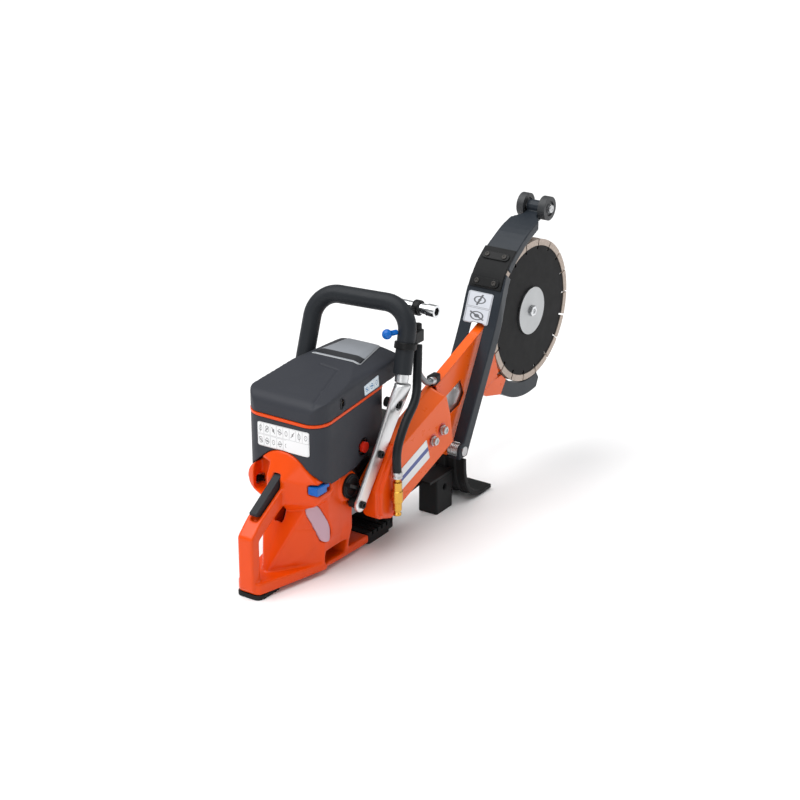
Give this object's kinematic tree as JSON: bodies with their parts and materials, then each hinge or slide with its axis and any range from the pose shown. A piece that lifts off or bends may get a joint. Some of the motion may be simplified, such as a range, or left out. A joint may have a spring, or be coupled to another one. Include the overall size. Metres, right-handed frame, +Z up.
{
  "type": "rescue saw",
  "caption": "Petrol rescue power cutter with a long cutting arm, side-by-side diamond blades, a swinging roller guard, rear and front handles and a water kit.",
  "frame": {"origin": "centre of the rear rubber foot's face, on the floor, on the powerhead's centre plane", "axes": "+X forward to the blades, +Y to the user's left, +Z up"},
  "size_m": [0.772, 0.1972, 0.429],
  "materials": {
    "orange_plastic": "satin moulded plastic",
    "orange_paint": "gloss powder coat",
    "charcoal_plastic": "fine grained",
    "charcoal_paint": "satin powder coat",
    "black_plastic": "satin",
    "black_rubber": "matte",
    "blue_plastic": "gloss",
    "red_plastic": "gloss",
    "window_plastic": "translucent tank wall",
    "cast_alloy": "die cast",
    "bright_alloy": "brushed",
    "bright_steel": "turned",
    "chrome_plate": "polished",
    "blade_steel": "black coated core with bare diamond segments",
    "brass_fitting": "turned",
    "filter_paper": "pleated",
    "muffler_steel": "heat-stained"
  },
  "bodies": {
    "machine": {"fuel_tank": "orange_plastic", "rubber_feet": "black_rubber", "fuel_window": "window_plastic", "cylinder_cover": "charcoal_plastic", "cover_trim": "orange_plastic", "air_filter_cover": "charcoal_plastic", "air_filter": "filter_paper", "carburettor": "cast_alloy", "intake_boot": "black_rubber", "cylinder_block": "cast_alloy", "crankcase": "cast_alloy", "bearings": "bright_steel", "ignition_module": "black_plastic", "spark_plug": "bright_steel", "muffler": "muffler_steel", "belly_skid": "black_rubber", "starter_housing": "charcoal_plastic", "clutch_cover": "orange_plastic", "bar_bracket": "black_plastic", "drive_belt": "black_rubber", "belt_guard": "orange_paint", "bar_nuts": "bright_steel", "cutting_arm": "orange_paint", "arm_cover": "orange_paint", "hook_guard": "charcoal_paint", "front_handle": "black_rubber", "handle_brackets": "bright_alloy", "handle_mounts": "black_rubber", "screws": "black_plastic", "water_valve": "black_plastic", "water_hoses": "black_rubber", "quick_connector": "brass_fitting"},
    "cap": {"fuel_cap": "black_plastic"},
    "trigger": {"throttle_trigger": "black_plastic"},
    "butterfly": {"throttle_shaft": "brass_fitting"},
    "lockout": {"trigger_lockout": "black_plastic"},
    "choke": {"choke_knob": "blue_plastic"},
    "stop": {"stop_switch": "black_plastic"},
    "relief": {"decompression_valve": "red_plastic"},
    "crank": {"crankshaft": "bright_steel", "flywheel": "cast_alloy", "clutch": "bright_steel"},
    "drum": {"clutch_drum": "bright_steel"},
    "blades": {"hub_shaft": "bright_steel", "right_blade": "blade_steel", "left_blade": "blade_steel", "blade_flanges": "bright_alloy"},
    "guard": {"guard_lower": "charcoal_paint", "splash_guard": "black_rubber", "guard_hinge": "black_rubber", "guard_pivot": "bright_steel"},
    "guard_tip": {"guard_upper": "charcoal_paint"},
    "roller_right": {"right_roller": "black_rubber"},
    "roller_left": {"left_roller": "black_rubber"},
    "valve": {"valve_lever": "blue_plastic"},
    "starter_cup": {"starter_pulley": "black_plastic"},
    "starter_grip": {"starter_handle": "black_plastic"},
    "piston_body": {"piston": "cast_alloy", "connecting_rod": "bright_steel"},
    "tool": {"spanner": "chrome_plate"}
  },
  "joints": [
    {"name": "fuel_cap_turn", "type": "hinge", "parent": "machine", "child": "cap", "pos_m": [0.138, -0.06, 0.126], "axis": [0, -1, 0], "range_deg": [0, 120]},
    {"name": "throttle_pull", "type": "hinge", "parent": "machine", "child": "trigger", "pos_m": [0.084, 0, 0.116], "axis": [0, 1, 0], "range_deg": [0, 18]},
    {"name": "butterfly_turn", "type": "hinge", "parent": "machine", "child": "butterfly", "pos_m": [0.119, 0, 0.18], "axis": [0, 1, 0], "range_deg": [0, 75]},
    {"name": "lockout_press", "type": "hinge", "parent": "machine", "child": "lockout", "pos_m": [0.06146, 0, 0.15871], "axis": [0, -1, 0], "range_deg": [0, 2.5]},
    {"name": "choke_pull", "type": "slide", "parent": "machine", "child": "choke", "axis": [0, -1, 0], "range_m": [0, 0.01]},
    {"name": "stop_rock", "type": "hinge", "parent": "machine", "child": "stop", "pos_m": [0.078, 0.047, 0.1302], "axis": [0, 1, 0], "range_deg": [0, 10]},
    {"name": "relief_press", "type": "slide", "parent": "machine", "child": "relief", "axis": [0, 1, 0], "range_m": [0, 0.003]},
    {"name": "crank_spin", "type": "hinge", "parent": "machine", "child": "crank", "pos_m": [0.206, 0, 0.1], "axis": [0, 1, 0], "continuous": true},
    {"name": "drum_spin", "type": "hinge", "parent": "machine", "child": "drum", "pos_m": [0.206, -0.06, 0.1], "axis": [0, 1, 0], "continuous": true},
    {"name": "blade_spin", "type": "hinge", "parent": "machine", "child": "blades", "pos_m": [0.63, -0.059, 0.245], "axis": [0, 1, 0], "continuous": true},
    {"name": "guard_swing", "type": "hinge", "parent": "machine", "child": "guard", "pos_m": [0.396, -0.059, 0.092], "axis": [0, -1, 0], "range_deg": [0, 35]},
    {"name": "guard_flex", "type": "hinge", "parent": "guard", "child": "guard_tip", "pos_m": [0.52025, -0.059, 0.34364], "axis": [0, -1, 0], "range_deg": [0, 18]},
    {"name": "right_roller_spin", "type": "hinge", "parent": "guard_tip", "child": "roller_right", "pos_m": [0.653, -0.078, 0.41], "axis": [0, 1, 0], "continuous": true},
    {"name": "left_roller_spin", "type": "hinge", "parent": "guard_tip", "child": "roller_left", "pos_m": [0.653, -0.04, 0.41], "axis": [0, 1, 0], "continuous": true},
    {"name": "valve_turn", "type": "hinge", "parent": "machine", "child": "valve", "pos_m": [0.235, -0.06, 0.325], "axis": [0.9272, -0.3746, 0], "range_deg": [0, 90]},
    {"name": "starter_spin", "type": "hinge", "parent": "machine", "child": "starter_cup", "pos_m": [0.206, 0.06, 0.1], "axis": [0, 1, 0], "range_deg": [0, 580]},
    {"name": "starter_pull", "type": "slide", "parent": "machine", "child": "starter_grip", "axis": [0.7071, 0, 0.7071], "range_m": [0, 0.25]},
    {"name": "piston_stroke", "type": "slide", "parent": "machine", "child": "piston_body", "axis": [0, 0, -1], "range_m": [0, 0.034]},
    {"name": "spanner_pull", "type": "slide", "parent": "machine", "child": "tool", "axis": [0, -1, 0], "range_m": [0, 0.09]}
  ],
  "couplings": [
    {"joint": "butterfly_turn", "follows": "throttle_pull", "ratio": 4},
    {"joint": "drum_spin", "follows": "blade_spin", "ratio": 1.5},
    {"joint": "starter_spin", "follows": "starter_pull", "rad_per_m": 38.46}
  ]
}
